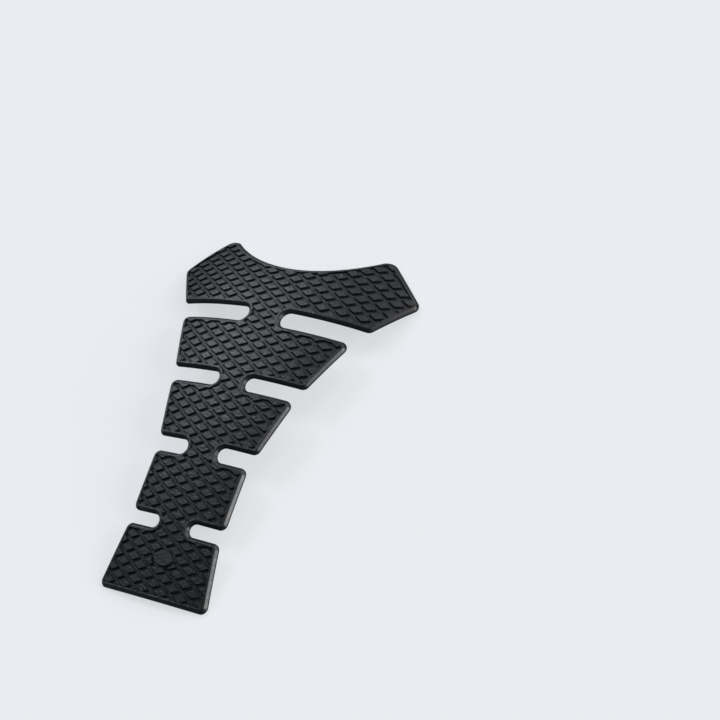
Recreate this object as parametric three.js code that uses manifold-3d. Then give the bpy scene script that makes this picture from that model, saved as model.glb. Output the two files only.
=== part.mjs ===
// Motorcycle tank pad: one moulded sheet in five linked segments, bent over a tank.
// It is drawn flat (u across, v up the spine, n outward from the back face) and then bent.
// Millimetres, +X to the right, +Y up the spine towards the wing, +Z up.
import * as THREE from 'three';
import Module from 'manifold-3d';

const wasm = await Module();
wasm.setup();

// Section through the edge
const THICKNESS = 2.6;
const BEVEL = 1.6;
const RIM = 1.2;

// Segments from the bottom up: each has a height and the half widths of its lower and upper edges
const HEIGHT_1 = 39.1;
const LOWER_1 = 39.0;
const UPPER_1 = 32.9;
const HEIGHT_2 = 36.6;
const LOWER_2 = 33.2;
const UPPER_2 = 33.2;
const HEIGHT_3 = 35.2;
const LOWER_3 = 35.3;
const UPPER_3 = 44.7;
const HEIGHT_4 = 34.7;
const LOWER_4 = 47.4;
const UPPER_4 = 61.8;
const SEGMENT_CORNER = 4.0;

// Slot pairs above the segments, and half widths of the necks between the slots of a pair
const SLOT_1 = 7.8;
const NECK_1 = 11.1;
const SLOT_2 = 9.1;
const NECK_2 = 10.9;
const SLOT_3 = 8.8;
const NECK_3 = 9.7;
const SLOT_4 = 10.6;
const NECK_4 = 11.9;

// Wing above the last slot pair: heights are above its lower edge
const WING_LOWER = 68.0;
const WING_CORNER = 4.5;
const TIP_HALF_WIDTH = 88.0;
const TIP_HEIGHT = 27.1;
const TIP_CORNER = 4.5;
const PEAK_HALF_WIDTH = 57.5;
const PEAK_CORNER = 8.0;
const SCOOP_RADIUS = 86;
const SCOOP_HEIGHT = 30.9;

// Tread: raised rhombus tiles with grooves between them. A tile's half sizes are those of its top.
const TILE_PITCH_U = 13.3;
const TILE_PITCH_V = 8.0;
const TILE_HALF_LENGTH = 4.62;
const TILE_HALF_HEIGHT = 2.24;
const TILE_AT_U = 1.0;
const TILE_AT_V = 0.97;
const GROOVE_DEPTH = 1.07;
const GROOVE_DRAFT = 0.56;

// Plain oval boss in the bottom segment
const BOSS_AT_U = 1.6;
const BOSS_AT_V = 23.8;
const BOSS_HALF_WIDTH = 6.4;
const BOSS_HALF_HEIGHT = 4.3;
const BOSS_GROOVE = 1.7;

// Bend: radii at the bottom of the spine, at its middle and as far again above it. Across the
// pad, the droop is what the wing's curve adds at a place to each side of the spine.
const HALF_SPAN = 115;
const SPINE_LOW_RADIUS = 1320;
const SPINE_MIDDLE_RADIUS = 572;
const SPINE_HIGH_RADIUS = 216;
const CROSS_LOW_RADIUS = 230;
const CROSS_MIDDLE_RADIUS = 261;
const CROSS_HIGH_RADIUS = 371;
const DROOP = 1.25;
const DROOP_AT = 70;

// Fineness
const SHARPEST = 0.4;
const CORNER_STEPS = 4;
const SCOOP_STEPS = 18;
const BOSS_STEPS = 24;
const LONGEST_EDGE = 13;
const WALK_STEPS = 48;
const LEVEL_PASSES = 5;
const OVERCUT = 0.3;
const SAME_POINT = 0.01;

const SEGMENTS = [
  { height: HEIGHT_1, lower: LOWER_1, upper: UPPER_1, slot: SLOT_1, neck: NECK_1 },
  { height: HEIGHT_2, lower: LOWER_2, upper: UPPER_2, slot: SLOT_2, neck: NECK_2 },
  { height: HEIGHT_3, lower: LOWER_3, upper: UPPER_3, slot: SLOT_3, neck: NECK_3 },
  { height: HEIGHT_4, lower: LOWER_4, upper: UPPER_4, slot: SLOT_4, neck: NECK_4 },
];
const WING_BASE = SEGMENTS.reduce((sum, s) => sum + s.height + s.slot, 0);
const SCOOP_CENTRE = WING_BASE + SCOOP_HEIGHT + SCOOP_RADIUS;
const scoopHeight = (u) => SCOOP_CENTRE - Math.sqrt(SCOOP_RADIUS ** 2 - u * u);
const LENGTH = scoopHeight(PEAK_HALF_WIDTH);

// Right half of the outline as sharp corners, each with the radius that rounds it
function rightCorners() {
  const corners = [];
  const add = (u, v, radius) => corners.push({ u, v, radius });
  let v = 0;
  for (const s of SEGMENTS) {
    add(s.lower, v, SEGMENT_CORNER);
    v += s.height;
    add(s.upper, v, SEGMENT_CORNER);
    add(s.neck, v, s.slot / 2);
    v += s.slot;
    add(s.neck, v, s.slot / 2);
  }
  add(WING_LOWER, v, WING_CORNER);
  add(TIP_HALF_WIDTH, v + TIP_HEIGHT, TIP_CORNER);
  add(PEAK_HALF_WIDTH, LENGTH, PEAK_CORNER);
  for (let i = 1; i < SCOOP_STEPS / 2; i += 1) {
    const u = PEAK_HALF_WIDTH * (1 - (2 * i) / SCOOP_STEPS);
    add(u, scoopHeight(u), 0);
  }
  return corners;
}

// Whole outline, counterclockwise, with its edges moved inward by `inset`
function outline(inset) {
  const right = rightCorners();
  const left = right.map((c) => ({ ...c, u: -c.u })).reverse();
  const corners = [...right, { u: 0, v: scoopHeight(0), radius: 0 }, ...left];
  const count = corners.length;
  const direction = (a, b) => {
    const length = Math.hypot(b.u - a.u, b.v - a.v);
    return { u: (b.u - a.u) / length, v: (b.v - a.v) / length };
  };
  const points = [];
  const add = (u, v) => {
    const last = points[points.length - 1];
    if (!last || Math.hypot(u - last[0], v - last[1]) > SAME_POINT) points.push([u, v]);
  };
  for (let i = 0; i < count; i += 1) {
    const here = corners[i];
    const into = direction(corners[(i + count - 1) % count], here);
    const out = direction(here, corners[(i + 1) % count]);
    const turn = Math.atan2(into.u * out.v - into.v * out.u, into.u * out.u + into.v * out.v);
    const mitre = inset * Math.tan(turn / 2);
    const u = here.u - into.v * inset - into.u * mitre;
    const v = here.v + into.u * inset - into.v * mitre;
    if (here.radius === 0) {
      add(u, v);
      continue;
    }
    const side = Math.sign(turn);
    const radius = Math.max(here.radius - side * inset, SHARPEST);
    const reach = radius * Math.tan(Math.abs(turn) / 2);
    const start = { u: u - into.u * reach, v: v - into.v * reach };
    const centre = { u: start.u - side * into.v * radius, v: start.v + side * into.u * radius };
    for (let k = 0; k <= CORNER_STEPS; k += 1) {
      const angle = (turn * k) / CORNER_STEPS;
      const du = start.u - centre.u;
      const dv = start.v - centre.v;
      add(
        centre.u + du * Math.cos(angle) - dv * Math.sin(angle),
        centre.v + du * Math.sin(angle) + dv * Math.cos(angle),
      );
    }
  }
  return points;
}

function ellipse(halfWidth, halfHeight) {
  const points = [];
  for (let i = 0; i < BOSS_STEPS; i += 1) {
    const a = (2 * Math.PI * i) / BOSS_STEPS;
    points.push([BOSS_AT_U + halfWidth * Math.cos(a), BOSS_AT_V + halfHeight * Math.sin(a)]);
  }
  return points;
}

// Closed body through rings of equal point count, given from the lowest level up
function loft(rings) {
  const size = rings[0].points.length;
  const positions = rings.flatMap(({ points, n }) => points.flatMap(([u, v]) => [u, v, n]));
  const triangles = [];
  for (let r = 0; r + 1 < rings.length; r += 1) {
    for (let i = 0; i < size; i += 1) {
      const a = r * size + i;
      const b = r * size + ((i + 1) % size);
      triangles.push(a, b, b + size, a, b + size, a + size);
    }
  }
  const cap = ({ points }) => THREE.ShapeUtils.triangulateShape(
    points.map(([u, v]) => new THREE.Vector2(u, v)),
    [],
  );
  for (const [a, b, c] of cap(rings[0])) triangles.push(a, c, b);
  const top = (rings.length - 1) * size;
  for (const [a, b, c] of cap(rings[rings.length - 1])) triangles.push(top + a, top + b, top + c);
  return new wasm.Manifold(new wasm.Mesh({
    numProp: 3,
    vertProperties: new Float32Array(positions),
    triVerts: new Uint32Array(triangles),
  }));
}

const GROOVE_FLOOR = THICKNESS - GROOVE_DEPTH;
const BELOW = GROOVE_FLOOR - OVERCUT;
const ABOVE = THICKNESS + OVERCUT;

// Size at level n of a feature that leans in by the draft from the groove floor to the top
const draftAt = (n) => (GROOVE_DRAFT * (THICKNESS - n)) / GROOVE_DEPTH;

// A rhombus that grows by the same distance on all its sides keeps its shape
function tilePoints(u, v, n) {
  const toSide = (TILE_HALF_LENGTH * TILE_HALF_HEIGHT) / Math.hypot(TILE_HALF_LENGTH, TILE_HALF_HEIGHT);
  const a = TILE_HALF_LENGTH * (1 + draftAt(n) / toSide);
  const b = TILE_HALF_HEIGHT * (1 + draftAt(n) / toSide);
  return [[u + a, v], [u, v + b], [u - a, v], [u, v - b]];
}

function tiles() {
  const made = [];
  const columns = Math.ceil(TIP_HALF_WIDTH / (TILE_PITCH_U / 2));
  const rows = Math.ceil(LENGTH / TILE_PITCH_V);
  for (let i = -columns; i <= columns; i += 1) {
    const u = TILE_AT_U + (i * TILE_PITCH_U) / 2;
    const shift = i % 2 === 0 ? 0 : TILE_PITCH_V / 2;
    for (let j = -1; j <= rows; j += 1) {
      const v = TILE_AT_V + shift + j * TILE_PITCH_V;
      made.push(loft([BELOW, ABOVE].map((n) => ({ points: tilePoints(u, v, n), n }))));
    }
  }
  return wasm.Manifold.union(made);
}

// Everything that is taken out of the top face
function grooves() {
  const inset = (n) => BEVEL + RIM + draftAt(n);
  const field = loft([
    { points: outline(inset(GROOVE_FLOOR)), n: GROOVE_FLOOR },
    { points: outline(inset(ABOVE)), n: ABOVE },
  ]);
  const ring = (grow, low, lean) => loft([low, ABOVE].map((n) => ({
    points: ellipse(
      BOSS_HALF_WIDTH + grow + lean * draftAt(n),
      BOSS_HALF_HEIGHT + grow + lean * draftAt(n),
    ),
    n,
  })));
  return field
    .subtract(tiles())
    .add(ring(BOSS_GROOVE, GROOVE_FLOOR, -1))
    .subtract(ring(0, BELOW, 1));
}

const plate = loft([
  { points: outline(0), n: 0 },
  { points: outline(0), n: THICKNESS - BEVEL },
  { points: outline(BEVEL), n: THICKNESS },
]);
const flatPad = plate.subtract(grooves()).getMesh();

// Halves long edges until every face is short enough to bend
function subdivide({ vertProperties, triVerts }) {
  const positions = Array.from(vertProperties);
  const faces = [];
  const middles = new Map();
  const length = (a, b) => Math.hypot(
    ...[0, 1, 2].map((i) => positions[3 * a + i] - positions[3 * b + i]),
  );
  const middle = (a, b) => {
    const key = `${Math.min(a, b)} ${Math.max(a, b)}`;
    if (!middles.has(key)) {
      middles.set(key, positions.length / 3);
      positions.push(...[0, 1, 2].map((i) => (positions[3 * a + i] + positions[3 * b + i]) / 2));
    }
    return middles.get(key);
  };
  const split = (...face) => {
    const turned = [0, 1, 2].map((i) => [face[i], face[(i + 1) % 3], face[(i + 2) % 3]]);
    const [a, b, c] = turned.reduce((p, q) => (length(q[0], q[1]) > length(p[0], p[1]) ? q : p));
    if (length(a, b) <= LONGEST_EDGE) {
      faces.push(...face);
      return;
    }
    const m = middle(a, b);
    split(a, m, c);
    split(m, b, c);
  };
  for (let i = 0; i < triVerts.length; i += 3) split(...triVerts.slice(i, i + 3));
  return { positions, faces };
}

// Curvature that runs smoothly through three radii at s = -1, 0 and 1, and its integral from 0
function curvature(low, middle, high) {
  const slope = (1 / high - 1 / low) / 2;
  const bow = (1 / high + 1 / low) / 2 - 1 / middle;
  return {
    at: (s) => 1 / middle + slope * s + bow * s * s,
    turned: (s) => s / middle + (slope * s * s) / 2 + (bow * s ** 3) / 3,
  };
}

// Distance forward and sideways after walking `reach` along a path of known direction
function walk(reach, direction) {
  const step = reach / WALK_STEPS;
  let forward = 0;
  let aside = 0;
  for (let k = 0; k < WALK_STEPS; k += 1) {
    const angle = direction((k + 0.5) * step);
    forward += step * Math.cos(angle);
    aside += step * Math.sin(angle);
  }
  return { forward, aside };
}

const spine = curvature(SPINE_LOW_RADIUS, SPINE_MIDDLE_RADIUS, SPINE_HIGH_RADIUS);
const cross = curvature(CROSS_LOW_RADIUS, CROSS_MIDDLE_RADIUS, CROSS_HIGH_RADIUS);

function bend(u, v, n) {
  const s = v / HALF_SPAN - 1;
  const pitch = (reach) => HALF_SPAN * spine.turned(reach / HALF_SPAN);
  const roll = (reach) => cross.at(s) * reach + ((4 * DROOP) / DROOP_AT) * (reach / DROOP_AT) ** 3;
  const along = walk(v - HALF_SPAN, pitch);
  const over = walk(u, roll);
  const height = n * Math.cos(roll(u)) - over.aside;
  const tip = pitch(v - HALF_SPAN);
  return [
    over.forward + n * Math.sin(roll(u)),
    along.forward + height * Math.sin(tip),
    height * Math.cos(tip) - along.aside,
  ];
}

const { positions, faces } = subdivide(flatPad);
for (let i = 0; i < positions.length; i += 3) {
  const bent = bend(positions[i], positions[i + 1], positions[i + 2]);
  for (let k = 0; k < 3; k += 1) positions[i + k] = bent[k];
}

const geometry = new THREE.BufferGeometry();
geometry.setAttribute('position', new THREE.Float32BufferAttribute(positions, 3));
geometry.setIndex(faces);

// Lowest point on the bottom (side -1) or the wing (side 1) half
function lowest(side) {
  const at = geometry.attributes.position;
  let found = { y: 0, z: Infinity };
  for (let i = 0; i < at.count; i += 1) {
    if (at.getY(i) * side > 0 && at.getZ(i) < found.z) found = { y: at.getY(i), z: at.getZ(i) };
  }
  return found;
}

// Leans the pad until both halves rest on the ground, then puts the origin under its middle
for (let pass = 0; pass < LEVEL_PASSES; pass += 1) {
  const bottom = lowest(-1);
  const wing = lowest(1);
  geometry.rotateX(-Math.atan2(wing.z - bottom.z, wing.y - bottom.y));
}
geometry.computeBoundingBox();
const { min, max } = geometry.boundingBox;
geometry.translate(-(min.x + max.x) / 2, -(min.y + max.y) / 2, -min.z);
geometry.computeVertexNormals();

const pad = new THREE.Mesh(
  geometry,
  new THREE.MeshStandardMaterial({ color: 0x2b2d30, roughness: 0.62, metalness: 0 }),
);
pad.name = 'tank_pad';

const group = new THREE.Group();
group.add(pad);
export default group;
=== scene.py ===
"""Motorcycle tank pad: one moulded rubber sheet in five linked segments, bent as it is in use.

The pad is drawn flat in millimetres (u across, v up the spine, n outward from the back face), then bent
and put in the row frame in metres: +X right, +Y up the spine towards the wing, +Z up.
"""

import math

import bpy
import numpy as np
from mathutils import Matrix, Vector
from mathutils.geometry import delaunay_2d_cdt

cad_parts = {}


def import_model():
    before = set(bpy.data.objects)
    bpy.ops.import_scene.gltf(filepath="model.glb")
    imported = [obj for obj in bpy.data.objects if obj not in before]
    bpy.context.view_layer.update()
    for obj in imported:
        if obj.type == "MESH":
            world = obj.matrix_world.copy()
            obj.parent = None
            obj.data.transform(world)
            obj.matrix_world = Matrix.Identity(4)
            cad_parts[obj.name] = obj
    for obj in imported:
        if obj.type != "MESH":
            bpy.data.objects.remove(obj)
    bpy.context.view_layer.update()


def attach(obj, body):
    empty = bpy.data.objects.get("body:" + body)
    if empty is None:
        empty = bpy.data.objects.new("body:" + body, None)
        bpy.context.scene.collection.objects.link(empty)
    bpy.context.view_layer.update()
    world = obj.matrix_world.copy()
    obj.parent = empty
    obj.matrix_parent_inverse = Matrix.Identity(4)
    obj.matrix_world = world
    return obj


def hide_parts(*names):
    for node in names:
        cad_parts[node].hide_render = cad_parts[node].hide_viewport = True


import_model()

MM = 0.001

# Section through the edge
THICKNESS = 2.6
BEVEL = 1.6
RIM = 1.2

# Segments from the bottom up: heights, half widths of the lower and upper edges, slots and necks
SEGMENT_HEIGHTS = (39.1, 36.6, 35.2, 34.7)
LOWER_HALF_WIDTHS = (39.0, 33.2, 35.3, 47.4)
UPPER_HALF_WIDTHS = (32.9, 33.2, 44.7, 61.8)
SLOT_HEIGHTS = (7.8, 9.1, 8.8, 10.6)
NECK_HALF_WIDTHS = (11.1, 10.9, 9.7, 11.9)
SEGMENT_CORNER = 4.0

# Wing above the last slot: heights are above its lower edge
WING_LOWER, WING_CORNER = 68.0, 4.5
TIP_U, TIP_RISE, TIP_CORNER = 88.0, 27.1, 4.5
PEAK_U, PEAK_CORNER = 57.5, 8.0
SCOOP_RADIUS, SCOOP_RISE, SCOOP_STEPS = 86.0, 30.9, 60

# Tread: a tile's half sizes are those of its top. Columns and rows are lattice steps from the origin.
PITCH_U, PITCH_V = 13.3, 8.0
TILE_HALF = (4.62, 2.24)
TILE_ORIGIN = (1.0, 0.97)
TILE_COLUMNS, TILE_ROWS = (-15, 15), (-2, 30)
TILE_CORNER = 0.25
GROOVE_DEPTH = 1.07
GROOVE_DRAFT = 0.56
GROOVE_FLOOR = THICKNESS - GROOVE_DEPTH
SMALLEST_CUT_TILE = 0.25

# Plain oval boss in the bottom segment
BOSS_AT = (1.6, 23.8)
BOSS_HALF = (6.4, 4.3)
BOSS_GROOVE = 1.7
# A tile's distance from the boss, in half sizes of the recess: whole from the first, left out up to
# the second
WHOLE_BY_BOSS, NONE_BY_BOSS = 2.0, 0.6

# Bend
HALF_SPAN = 115.0
SPINE_RADII = (1320.0, 572.0, 216.0)
CROSS_RADII = (230.0, 261.0, 371.0)
WING_DROOP, DROOP_AT = 1.25, 70.0

# A cut tile ends TUCK into the rim and DIP under its top, and every block is rooted ROOT_DEPTH deep
TUCK = 0.5
DIP = 0.02
ROOT_DEPTH = 0.3

# Fineness in millimetres from point to point. An edge gets one step more when it is longer by more
# than STEP_SLACK of a step.
EDGE_STEP, CUT_TILE_STEP, PLAIN_TILE_STEP = 1.0, 0.5, 9.0
FILL_STEP, FIELD_STEP = 4.0, 0.7
STEP_SLACK = 0.01

# Fineness in steps, points or passes
CORNER_STEPS, TILE_CORNER_STEPS = 10, 4
BOSS_POINTS, BEND_STEPS, RAY_STEPS = 48, 48, 24
LEVEL_PASSES = 5
AT_ONCE = 2000

# Smallest rounding, points at each end of the scoop's arc that make room for the peak's rounding, and
# the angle from which an edge is shaded sharp
SHARPEST = 0.4
PEAK_SHARE = 3
SHARP_EDGE = math.radians(35)

# Grain of the rubber and soft clouds in its gloss: sizes in metres, and how far each moves the
# roughness up and down. The noise between the first two levels spans the gloss, and between the last
# two the colour.
GRAIN_SIZE, GRAIN_GLOSS = 0.0011, 0.07
CLOUD_SIZE, CLOUD_GLOSS = 0.017, 0.03
GLOSS_FROM, GLOSS_TO = 0.25, 0.75
COLOUR_FROM, COLOUR_TO = 0.3, 0.7

# Camera of the photograph, in the row frame. It sees from CLIP_NEAR to CLIP_FAR metres.
CAMERA_AT = (0.6169, -0.2996, 0.7577)
CAMERA_FORWARD = (-0.55328, 0.35119, -0.75535)
CAMERA_DOWN = (0.14335, -0.85311, -0.50164)
LENS_MM, SENSOR_MM = 88.5, 36
CLIP_NEAR, CLIP_FAR = 0.01, 20

# Ground: half its side in metres. Where the camera sees it, it is part pale paper and part light of
# the given level and share. Bounced light and reflections meet a darker matt paper.
GROUND_REACH = 12.0
GROUND_PALE = (0.86, 0.87, 0.885, 1)
GROUND_GLOW = (0.95, 0.97, 1.0, 1)
GROUND_GLOW_LEVEL, GROUND_GLOW_SHARE = 0.94, 0.68
GROUND_BOUNCED = (0.22, 0.223, 0.228, 1)

# Light from all around: its bright side, its colour, where along that side its level begins and ends
# to rise, and the level there
AROUND_TOWARD = (-0.45, 0.74, 0.45)
AROUND_COLOUR = (0.85, 0.92, 1.0, 1)
AROUND_FROM, AROUND_TO = -0.2, 1.0
AROUND_DARK, AROUND_BRIGHT = 0.03, 0.34

# Where the soft lights' marks stand, in metres from the origin. Their light comes from far away.
LAMP_MARK = 2


def outline_corners():
    """Sharp corners of the whole outline, counterclockwise: rows of u, v and rounding radius.

    The scoop is a round arc between the peaks. PEAK_SHARE points at each end of it are left out: the
    peak, which is a corner of its own, and those where the peak's rounding needs the room.
    """
    right = []
    v = 0.0
    rows = zip(SEGMENT_HEIGHTS, LOWER_HALF_WIDTHS, UPPER_HALF_WIDTHS, SLOT_HEIGHTS, NECK_HALF_WIDTHS)
    for height, lower, upper, slot, neck in rows:
        right.append((lower, v, SEGMENT_CORNER))
        v += height
        right.append((upper, v, SEGMENT_CORNER))
        right.append((neck, v, slot / 2))
        v += slot
        right.append((neck, v, slot / 2))
    centre = v + SCOOP_RISE + SCOOP_RADIUS
    arc_u = np.linspace(PEAK_U, -PEAK_U, SCOOP_STEPS + 1)
    arc_v = centre - np.sqrt(SCOOP_RADIUS**2 - arc_u**2)
    right.append((WING_LOWER, v, WING_CORNER))
    right.append((TIP_U, v + TIP_RISE, TIP_CORNER))
    right.append((PEAK_U, arc_v[0], PEAK_CORNER))
    right = np.array(right)
    scoop = np.column_stack([arc_u, arc_v, np.zeros_like(arc_u)])[PEAK_SHARE:-PEAK_SHARE]
    left = right[::-1] * [-1, 1, 1]
    return np.concatenate([right, scoop, left])


def rounded(corners, inset, arc_steps=CORNER_STEPS, edge_step=EDGE_STEP):
    """Closed line through rounded corners with its edges moved inward by inset.

    A convex corner's radius shrinks by the inset, down to SHARPEST, and a concave one's grows. The
    number of points doesn't depend on the inset, so that lines of different inset join into a strip.
    """
    here = corners[:, :2]
    run = np.roll(here, -1, 0) - here
    length = np.linalg.norm(run, axis=1)
    out = run / length[:, None]
    into = np.roll(out, 1, 0)
    turn = np.arctan2(into[:, 0] * out[:, 1] - into[:, 1] * out[:, 0], (into * out).sum(1))
    normal = np.column_stack([-into[:, 1], into[:, 0]])
    moved = here + inset * (normal - into * np.tan(turn / 2)[:, None])
    side = np.sign(turn)
    radius = np.where(corners[:, 2] > 0, np.maximum(corners[:, 2] - side * inset, SHARPEST), 0)
    first = corners[:, 2] * np.tan(np.abs(turn) / 2)
    straight = length - first - np.roll(first, -1)
    reach = radius * np.tan(np.abs(turn) / 2)
    start = moved - into * reach[:, None]
    end = moved + out * reach[:, None]
    centre = start + normal * (side * radius)[:, None]
    line = []
    for i in range(len(corners)):
        if corners[i, 2] > 0:
            angle = turn[i] * np.arange(arc_steps) / arc_steps
            d = start[i] - centre[i]
            arc = np.outer(np.cos(angle), d) + np.outer(np.sin(angle), [-d[1], d[0]])
            line.append(centre[i] + arc)
        steps = int(np.ceil(straight[i] / edge_step - STEP_SLACK))
        t = np.arange(steps)[:, None] / max(steps, 1)
        line.append(end[i] * (1 - t) + start[(i + 1) % len(corners)] * t)
    return np.concatenate(line)


def oval(half):
    """Oval about the boss's middle: its half sizes times the cosine and the sine of an angle."""
    a = np.arange(BOSS_POINTS) * 2 * np.pi / BOSS_POINTS
    return np.column_stack([BOSS_AT[0] + half[0] * np.cos(a), BOSS_AT[1] + half[1] * np.sin(a)])


def bend(flat):
    """Flat points (u, v, n) to the bent pad.

    The spine's direction is the integral of a curvature that is a quadratic in v through three radii.
    Across it, the direction is a second such curvature times u plus a cubic droop. Places are the
    integrals of the cosines and sines of those directions, by the midpoint rule.
    """
    u, v, n = flat.T
    middle = (np.arange(BEND_STEPS) + 0.5) / BEND_STEPS

    def quadratic(radii):
        low, mid, high = (1 / r for r in radii)
        return mid, (high - low) / 2, (high + low) / 2 - mid

    a, b, c = quadratic(SPINE_RADII)
    e, f, g = quadratic(CROSS_RADII)

    def pitch(reach):
        s = reach / HALF_SPAN
        return HALF_SPAN * (a * s + b * s**2 / 2 + c * s**3 / 3)

    s = v / HALF_SPAN - 1
    across = e + f * s + g * s**2

    def roll(reach, across):
        return across * reach + 4 * WING_DROOP / DROOP_AT * (reach / DROOP_AT) ** 3

    up = v - HALF_SPAN
    tilt = pitch(up[:, None] * middle)
    forward = up * np.cos(tilt).mean(1)
    fall = up * np.sin(tilt).mean(1)
    lean = roll(u[:, None] * middle, across[:, None])
    aside = u * np.cos(lean).mean(1)
    drop = u * np.sin(lean).mean(1)
    end = roll(u, across)
    height = n * np.cos(end) - drop
    tip = pitch(up)
    return np.column_stack(
        [aside + n * np.sin(end), forward + height * np.sin(tip), height * np.cos(tip) - fall]
    )


# Finishes of the faces, in the order of the materials. The groove walls' and the groove bed's colours
# are darker than the tops': painted shade in the grooves.
GRAINED, BEVELLED, GROOVE_WALL_PAINTED_SHADE, GROOVE_BED_PAINTED_SHADE = range(4)


class Form:
    """Flat vertices, quads and triangles gathered from several surfaces, with a finish for each face."""

    def __init__(self):
        self.points, self.quads, self.triangles = [], [], []
        self.count = 0

    def add(self, points, quads=(), quad_finish=(), triangles=(), triangle_finish=()):
        """Adds a surface, whose faces count from its own first vertex."""
        self.points.append(points)
        for store, faces, finish in (
            (self.quads, quads, quad_finish),
            (self.triangles, triangles, triangle_finish),
        ):
            if len(faces):
                store.append(np.column_stack([np.asarray(faces) + self.count, finish]))
        self.count += len(points)


def strip(rows, columns):
    """Quads between the rows of a grid whose columns close on themselves."""
    r, c = np.meshgrid(np.arange(rows - 1), np.arange(columns), indexing="ij")
    a = r * columns + c
    b = r * columns + (c + 1) % columns
    return np.stack([a, b, b + columns, a + columns], -1).reshape(-1, 4)


def fill(ring):
    """Triangles over the inside of a ring, with grid points in it so that they bend with the pad.

    Returns the inner points and the triangles, which count the ring's points first.
    """
    low, high = ring.min(0), ring.max(0)
    u, v = np.meshgrid(np.arange(low[0], high[0], FILL_STEP), np.arange(low[1], high[1], FILL_STEP))
    grid = np.column_stack([u.ravel(), v.ravel()])
    grid = grid[nearest(grid, ring) < -FILL_STEP / 3]
    count = np.arange(len(ring))
    edges = np.column_stack([count, np.roll(count, -1)])
    points = np.concatenate([ring, grid])
    inside_only, merge_within = 1, 1e-7
    made = delaunay_2d_cdt(points, edges.tolist(), [], inside_only, merge_within)
    source = np.array([first[0] for first in made[3]])
    faces = source[np.array(made[2])]
    a, b, c = points[faces.T]
    turned = (b[:, 0] - a[:, 0]) * (c[:, 1] - a[:, 1]) < (b[:, 1] - a[:, 1]) * (c[:, 0] - a[:, 0])
    faces[turned] = faces[turned][:, ::-1]
    return grid, faces


def nearest(points, ring):
    """Signed distance of points to a counterclockwise ring: inside is below 0."""
    along = np.roll(ring, -1, 0) - ring
    length = (along**2).sum(1)
    distance = np.empty(len(points))
    for k in range(0, len(points), AT_ONCE):
        p = points[k : k + AT_ONCE, None]
        t = np.clip(((p - ring) * along).sum(-1) / length, 0, 1)
        away = p - ring - t[..., None] * along
        gap = (away**2).sum(-1)
        i = gap.argmin(1)
        rows = np.arange(len(i))
        away = away[rows, i]
        outside = along[i, 1] * away[:, 0] > along[i, 0] * away[:, 1]
        distance[k : k + AT_ONCE] = np.sqrt(gap[rows, i]) * np.where(outside, 1, -1)
    return distance


def depth_field(ring):
    """A function that gives signed distances to a ring (inside is below 0), up to a tile away from it.

    They are worked out on a grid once and read from it by bilinear interpolation.
    """
    low = ring.min(0) - PITCH_U
    size = np.ceil((ring.max(0) + PITCH_U - low) / FIELD_STEP).astype(int) + 1
    u, v = np.meshgrid(*(low[k] + FIELD_STEP * np.arange(size[k]) for k in range(2)), indexing="ij")
    field = nearest(np.column_stack([u.ravel(), v.ravel()]), ring).reshape(size)

    def at(points):
        place = np.clip((points - low) / FIELD_STEP, 0, size - 1.001)
        cell = place.astype(int)
        a, b = np.moveaxis(place - cell, -1, 0)
        i, j = np.moveaxis(cell, -1, 0)
        near = field[i, j] * (1 - b) + field[i, j + 1] * b
        far = field[i + 1, j] * (1 - b) + field[i + 1, j + 1] * b
        return near * (1 - a) + far * a

    return at


def blank(form, corners):
    """The pad without its tiles: back face, wall, bevel, rim and the sunken floor of the tread.

    A section through the edge, as how far in and how high, is carried along the outline. Both ends of
    it are filled. The third number of each row is the finish of the band above it.
    """
    foot = THICKNESS - BEVEL
    inner = BEVEL + RIM
    section = np.array(
        [
            (0.20, 0.00, BEVELLED),
            (0.06, 0.04, BEVELLED),
            (0.00, 0.16, BEVELLED),
            (0.00, foot - 0.20, BEVELLED),
            (0.03, foot - 0.06, BEVELLED),
            (0.10, foot + 0.07, BEVELLED),
            (0.24, foot + 0.24, BEVELLED),
            (BEVEL - 0.40, THICKNESS - 0.40, BEVELLED),
            (BEVEL - 0.14, THICKNESS - 0.17, BEVELLED),
            (BEVEL + 0.06, THICKNESS - 0.04, BEVELLED),
            (BEVEL + 0.28, THICKNESS, GRAINED),
            (inner - 0.12, THICKNESS, GRAINED),
            (inner - 0.01, THICKNESS - 0.03, GROOVE_WALL_PAINTED_SHADE),
            (inner + 0.06, THICKNESS - 0.12, GROOVE_WALL_PAINTED_SHADE),
            (inner + GROOVE_DRAFT, GROOVE_FLOOR, GROOVE_BED_PAINTED_SHADE),
        ]
    )
    rings = [rounded(corners, inset) for inset in section[:, 0]]
    rows, columns = len(rings), len(rings[0])
    back, back_faces = fill(rings[0])
    floor_points, floor_faces = fill(rings[-1])
    flat = [np.column_stack([ring, np.full(columns, n)]) for ring, n in zip(rings, section[:, 1])]
    flat.append(np.column_stack([back, np.zeros(len(back))]))
    flat.append(np.column_stack([floor_points, np.full(len(floor_points), GROOVE_FLOOR)]))
    grid = rows * columns
    to_back = np.concatenate([np.arange(columns), grid + np.arange(len(back))])
    to_floor = np.concatenate(
        [(rows - 1) * columns + np.arange(columns), grid + len(back) + np.arange(len(floor_points))]
    )
    triangles = np.concatenate([to_back[back_faces[:, ::-1]], to_floor[floor_faces]])
    finish = np.repeat([BEVELLED, GROOVE_BED_PAINTED_SHADE], [len(back_faces), len(floor_faces)])
    form.add(
        np.concatenate(flat),
        strip(rows, columns),
        np.repeat(section[:-1, 2].astype(int), columns),
        triangles,
        finish,
    )


# A block's section from its root to its flat top: how far in from its upper edge, level, and finish
# of the band above
BLOCK_SECTION = np.array(
    [
        (-GROOVE_DRAFT * (1 + ROOT_DEPTH / GROOVE_DEPTH), GROOVE_FLOOR - ROOT_DEPTH, GROOVE_WALL_PAINTED_SHADE),
        (-0.07, THICKNESS - 0.14, GROOVE_WALL_PAINTED_SHADE),
        (-0.01, THICKNESS - 0.05, GROOVE_WALL_PAINTED_SHADE),
        (0.09, THICKNESS, GRAINED),
        (0.40, THICKNESS, GRAINED),
    ]
)


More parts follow.
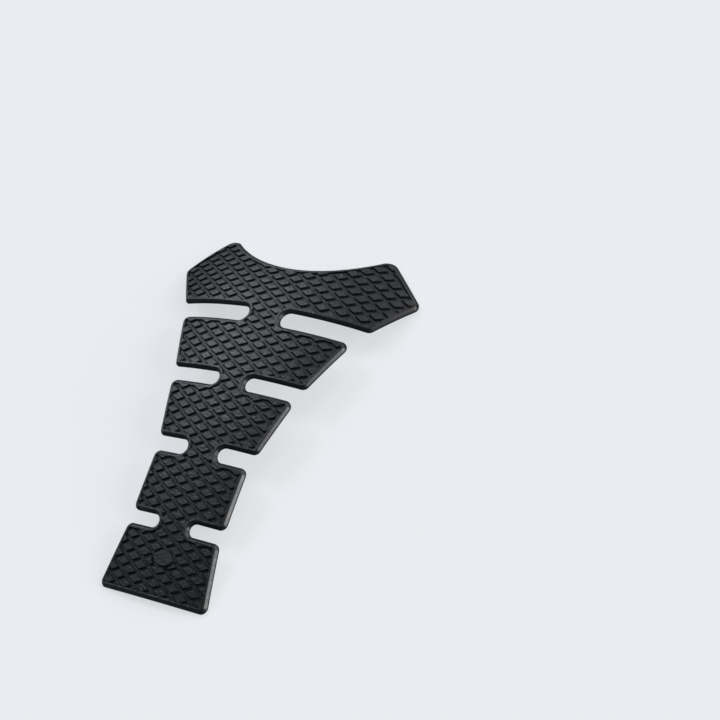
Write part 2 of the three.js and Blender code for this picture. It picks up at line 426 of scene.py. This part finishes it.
def block(ring_at, middle):
    """A closed raised block: rings of the section, and a fan over its root and its top.

    ring_at gives the ring for an inset. Returns points (u, v, n), quads, triangles and their finishes.
    """
    rings = [ring_at(inset) for inset in BLOCK_SECTION[:, 0]]
    rows, columns = len(rings), len(rings[0])
    points = [np.column_stack([r, np.full(columns, n)]) for r, n in zip(rings, BLOCK_SECTION[:, 1])]
    ends = [(*middle, BLOCK_SECTION[0, 1]), (*middle, THICKNESS)]
    around = np.arange(columns)
    after = np.roll(around, -1)
    last = (rows - 1) * columns
    under = np.column_stack([np.full(columns, rows * columns), after, around])
    over = np.column_stack([np.full(columns, rows * columns + 1), last + around, last + after])
    return (
        np.concatenate([*points, ends]),
        strip(rows, columns),
        np.repeat(BLOCK_SECTION[:-1, 2].astype(int), columns),
        np.concatenate([under, over]),
        np.repeat([GROOVE_WALL_PAINTED_SHADE, GRAINED], columns),
    )


def tile(edge_step):
    """One rhombus tile about the origin, with rounded corners in plan.

    A rhombus moved in or out on all sides keeps its shape, so each ring is the top one scaled by how
    far its sides lie from the middle.
    """
    u, v = TILE_HALF
    corners = np.array([(u, 0), (0, v), (-u, 0), (0, -v)])
    corners = np.column_stack([corners, np.full(len(corners), TILE_CORNER)])
    ring = rounded(corners, 0, TILE_CORNER_STEPS, edge_step)
    side = u * v / math.hypot(u, v)
    return block(lambda inset: ring * (1 - inset / side), (0.0, 0.0))


def tile_middles():
    """Middles of the tiles: every crossing of the rhombus lattice that can touch the pad."""
    steps = (np.arange(first, last + 1) for first, last in (TILE_COLUMNS, TILE_ROWS))
    i, j = np.meshgrid(*steps, indexing="ij")
    u = TILE_ORIGIN[0] + i * PITCH_U / 2
    v = TILE_ORIGIN[1] + (i % 2) * PITCH_V / 2 + j * PITCH_V
    return np.column_stack([u.ravel(), v.ravel()])


def add_copies(form, shape, points):
    """Adds one shape, as block gives it, many times: points holds the moved points of each copy."""
    _, quads, quad_finish, triangles, triangle_finish = shape
    copies, size = points.shape[:2]
    first = np.arange(copies)[:, None, None] * size
    quads, triangles = ((f + first).reshape(-1, f.shape[1]) for f in (quads, triangles))
    quad_finish, triangle_finish = (np.tile(f, copies) for f in (quad_finish, triangle_finish))
    form.add(points.reshape(-1, 3), quads, quad_finish, triangles, triangle_finish)


def cut_back(points, depth):
    """Presses the flat points of cut tiles that lie past the tread's edge back into the rim.

    Each goes along its straight line towards its own tile's deepest point, up to the place where it is
    TUCK past the tread's edge and so hidden in the rim's body.
    """
    distance = depth(points)
    heart = np.take_along_axis(points, distance.argmin(1)[:, None, None], 1)
    way = points - heart
    share = np.linspace(0, 1, RAY_STEPS + 1)
    along = depth(heart[..., None, :] + share[:, None] * way[..., None, :])
    beyond = along > TUCK
    after = np.where(beyond.any(-1), beyond.argmax(-1), RAY_STEPS)[..., None]
    here = np.take_along_axis(along, after, -1)[..., 0]
    before = np.take_along_axis(along, after - 1, -1)[..., 0]
    part = np.clip((TUCK - before) / np.where(here > before, here - before, 1), 0, 1)
    stop = np.where(beyond.any(-1), (after[..., 0] - 1 + part) / RAY_STEPS, 1)
    return heart + stop[..., None] * way


def tread(form, rim):
    """Tiles of the tread. rim is the rim's inner line.

    A tile that the rim cuts ends inside it, DIP below its top. One that the boss's recess cuts ends at
    the recess's oval: points within it move straight out from the boss's middle.
    """
    middles = tile_middles()
    recess = np.array(BOSS_HALF) + BOSS_GROOVE
    depth = depth_field(rim)
    clear = np.linalg.norm((middles - BOSS_AT) / recess, axis=1)
    plain, fine = tile(PLAIN_TILE_STEP), tile(CUT_TILE_STEP)
    reach = plain[0][:, 0].max()
    whole = (depth(middles) < -reach) & (clear > WHOLE_BY_BOSS)
    cut = (depth(middles) < reach) & (clear > NONE_BY_BOSS) & ~whole
    at = np.column_stack([middles, np.zeros(len(middles))])

    add_copies(form, plain, plain[0] + at[whole, None])

    points = fine[0] + at[cut, None]
    points = points[depth(points[..., :2]).min(1) < -SMALLEST_CUT_TILE]
    points[..., :2] = cut_back(points[..., :2], depth)
    over = points[..., 2] > THICKNESS - DIP
    points[..., 2] -= over * DIP * np.clip(depth(points[..., :2]) / TUCK + 1, 0, 1)
    from_boss = points[..., :2] - BOSS_AT
    inside = np.minimum(np.linalg.norm(from_boss / recess, axis=-1), 1)[..., None]
    points[..., :2] = BOSS_AT + from_boss / inside
    add_copies(form, fine, points)


def boss(form):
    """The plain oval boss."""
    half = np.array(BOSS_HALF)
    form.add(*block(lambda inset: oval(half - inset), BOSS_AT))


def level(points):
    """Leans the bent pad until both halves rest on the ground, then centres its box on the origin."""
    for _ in range(LEVEL_PASSES):
        ends = []
        for half in (points[:, 1] < 0, points[:, 1] > 0):
            ends.append(points[half][points[half, 2].argmin()])
        angle = -math.atan2(ends[1][2] - ends[0][2], ends[1][1] - ends[0][1])
        turn = np.array(Matrix.Rotation(angle, 3, "X"))
        points = points @ turn.T
    low, high = points.min(0), points.max(0)
    return points - [(low[0] + high[0]) / 2, (low[1] + high[1]) / 2, low[2]]


def build_pad(finishes):
    """The whole pad as one mesh, drawn flat, then bent, levelled and scaled to metres."""
    corners = outline_corners()
    form = Form()
    blank(form, corners)
    tread(form, rounded(corners, BEVEL + RIM))
    boss(form)
    points = level(bend(np.concatenate(form.points))) * MM
    quads, triangles = np.concatenate(form.quads), np.concatenate(form.triangles)
    data = bpy.data.meshes.new("tank_pad_surface")
    data.from_pydata(points, [], quads[:, :-1].tolist() + triangles[:, :-1].tolist())
    data.polygons.foreach_set("material_index", np.concatenate([quads[:, -1], triangles[:, -1]]))
    data.polygons.foreach_set("use_smooth", np.ones(len(data.polygons), bool))
    data.set_sharp_from_angle(angle=SHARP_EDGE)
    data.update()
    for finish in finishes:
        data.materials.append(finish)
    pad = bpy.data.objects.new("tank_pad_surface", data)
    bpy.context.scene.collection.objects.link(pad)
    return pad


def add_node(tree, kind, **values):
    """A new node with its settings, or its inputs by name, set."""
    node = tree.nodes.new(kind)
    for key, value in values.items():
        if hasattr(node, key):
            setattr(node, key, value)
        else:
            node.inputs[key.replace("_", " ")].default_value = value
    return node


def rubber(name, dark, light, roughness, specular, grain_depth):
    """Charcoal moulded rubber with a fine grain.

    The grain is in the colour, the relief and the gloss. The gloss also drifts in soft clouds. dark and
    light are the grain's two colours, and grain_depth is its relief in metres.
    """
    material = bpy.data.materials.new(name)
    material.use_nodes = True
    tree = material.node_tree
    shader = tree.nodes["Principled BSDF"]
    shader.inputs["Specular IOR Level"].default_value = specular
    place = add_node(tree, "ShaderNodeTexCoord")
    grain = add_node(tree, "ShaderNodeTexNoise", Scale=1 / GRAIN_SIZE, Detail=1.0, Roughness=0.5)
    cloud = add_node(tree, "ShaderNodeTexNoise", Scale=1 / CLOUD_SIZE, Detail=3.0, Roughness=0.5)
    for texture in (grain, cloud):
        tree.links.new(place.outputs["Object"], texture.inputs["Vector"])

    tone = add_node(tree, "ShaderNodeValToRGB")
    ends = ((COLOUR_FROM, dark), (COLOUR_TO, light))
    for element, (position, colour) in zip(tone.color_ramp.elements, ends):
        element.position = position
        element.color = (*colour, 1)
    tree.links.new(grain.outputs["Fac"], tone.inputs["Fac"])
    tree.links.new(tone.outputs["Color"], shader.inputs["Base Color"])

    rough = add_node(tree, "ShaderNodeMath", operation="ADD")
    drifts = ((grain, roughness, GRAIN_GLOSS), (cloud, 0.0, CLOUD_GLOSS))
    for k, (texture, middle, spread) in enumerate(drifts):
        part = add_node(tree, "ShaderNodeMapRange")
        part.inputs["From Min"].default_value = GLOSS_FROM
        part.inputs["From Max"].default_value = GLOSS_TO
        part.inputs["To Min"].default_value = middle - spread
        part.inputs["To Max"].default_value = middle + spread
        tree.links.new(texture.outputs["Fac"], part.inputs["Value"])
        tree.links.new(part.outputs["Result"], rough.inputs[k])
    tree.links.new(rough.outputs["Value"], shader.inputs["Roughness"])

    bump = add_node(tree, "ShaderNodeBump", Strength=1.0, Distance=grain_depth)
    tree.links.new(grain.outputs["Fac"], bump.inputs["Height"])
    tree.links.new(bump.outputs["Normal"], shader.inputs["Normal"])
    return material


def floor():
    """Plain pale ground under the pad. Seen directly it is part light, so that shadows stay light."""
    data = bpy.data.meshes.new("floor")
    corners = [(x * GROUND_REACH, y * GROUND_REACH, 0) for x, y in ((-1, -1), (1, -1), (1, 1), (-1, 1))]
    data.from_pydata(corners, [], [(0, 1, 2, 3)])
    ground = bpy.data.objects.new("floor", data)
    bpy.context.scene.collection.objects.link(ground)
    material = bpy.data.materials.new("pale_ground")
    material.use_nodes = True
    tree = material.node_tree
    tree.nodes.clear()
    matte = add_node(tree, "ShaderNodeBsdfDiffuse")
    matte.inputs["Color"].default_value = GROUND_BOUNCED
    pale = add_node(tree, "ShaderNodeBsdfDiffuse")
    pale.inputs["Color"].default_value = GROUND_PALE
    glow = add_node(tree, "ShaderNodeEmission", Strength=GROUND_GLOW_LEVEL)
    glow.inputs["Color"].default_value = GROUND_GLOW
    seen = add_node(tree, "ShaderNodeMixShader", Fac=GROUND_GLOW_SHARE)
    tree.links.new(pale.outputs["BSDF"], seen.inputs[1])
    tree.links.new(glow.outputs["Emission"], seen.inputs[2])
    path = add_node(tree, "ShaderNodeLightPath")
    whole = add_node(tree, "ShaderNodeMixShader")
    tree.links.new(path.outputs["Is Camera Ray"], whole.inputs["Fac"])
    tree.links.new(matte.outputs["BSDF"], whole.inputs[1])
    tree.links.new(seen.outputs["Shader"], whole.inputs[2])
    out = add_node(tree, "ShaderNodeOutputMaterial")
    tree.links.new(whole.outputs["Shader"], out.inputs["Surface"])
    data.materials.append(material)


def soft_sun(name, toward, width, level, tint=(1, 1, 1)):
    """A soft light far away in the given direction: width is how wide it looks, in degrees."""
    data = bpy.data.lights.new(name, "SUN")
    data.angle = math.radians(width)
    data.energy = level
    data.color = tint
    lamp = bpy.data.objects.new(name, data)
    direction = Vector(toward).normalized()
    lamp.location = direction * LAMP_MARK
    lamp.rotation_mode = "QUATERNION"
    lamp.rotation_quaternion = direction.to_track_quat("Z", "Y")
    bpy.context.scene.collection.objects.link(lamp)


def camera():
    """The photograph's camera."""
    data = bpy.data.cameras.new("camera")
    data.sensor_width = SENSOR_MM
    data.lens = LENS_MM
    data.clip_start, data.clip_end = CLIP_NEAR, CLIP_FAR
    eye = bpy.data.objects.new("camera", data)
    forward = Vector(CAMERA_FORWARD).normalized()
    up = -Vector(CAMERA_DOWN)
    up = (up - forward * up.dot(forward)).normalized()
    right = forward.cross(up)
    turn = Matrix((right, up, -forward)).transposed()
    eye.matrix_world = Matrix.Translation(CAMERA_AT) @ turn.to_4x4()
    bpy.context.scene.collection.objects.link(eye)
    bpy.context.scene.camera = eye


def world():
    """Soft light from all around, brightest high beyond the wing and to the pad's left.

    Its level rises evenly with the direction's share along AROUND_TOWARD.
    """
    made = bpy.data.worlds.new("studio")
    made.use_nodes = True
    tree = made.node_tree
    back = tree.nodes["Background"]
    place = add_node(tree, "ShaderNodeTexCoord")
    along = add_node(tree, "ShaderNodeVectorMath", operation="DOT_PRODUCT")
    along.inputs[1].default_value = AROUND_TOWARD
    tree.links.new(place.outputs["Generated"], along.inputs[0])
    level = add_node(tree, "ShaderNodeMapRange")
    level.inputs["From Min"].default_value = AROUND_FROM
    level.inputs["From Max"].default_value = AROUND_TO
    level.inputs["To Min"].default_value = AROUND_DARK
    level.inputs["To Max"].default_value = AROUND_BRIGHT
    tree.links.new(along.outputs["Value"], level.inputs["Value"])
    tree.links.new(level.outputs["Result"], back.inputs["Strength"])
    back.inputs["Color"].default_value = AROUND_COLOUR
    bpy.context.scene.world = made


pad = build_pad(
    [
        rubber("grained_top", (0.0015, 0.0018, 0.0025), (0.0165, 0.0178, 0.0205), 0.395, 0.5, 0.0003),
        rubber("smooth_bevel", (0.009, 0.0098, 0.0112), (0.013, 0.014, 0.0158), 0.38, 0.5, 0.00002),
        # Groove walls: a near-black colour, darker than the same rubber on the tops, is painted shade
        rubber("groove_wall_painted_shade", (0.002, 0.0023, 0.003), (0.003, 0.0035, 0.0045), 0.60, 0.21, 0.00002),
        # Groove bed: a colour a little darker than the tops' is painted shade in the recess; its lower
        # gloss is not
        rubber("groove_bed_painted_shade", (0.003, 0.0034, 0.0042), (0.012, 0.0131, 0.0153), 0.44, 0.38, 0.0003),
    ]
)
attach(pad, "root")
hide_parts("tank_pad")

floor()
world()
soft_sun("edge", (0.935, 0.10, 0.33), 30, 2.5)
soft_sun("sheen", (-0.67, 0.40, 0.63), 22, 1.03, (0.85, 0.91, 1.0))
soft_sun("fill", (0.30, 0.80, 0.55), 45, 1.1)
camera()
bpy.context.scene.view_settings.view_transform = "Standard"
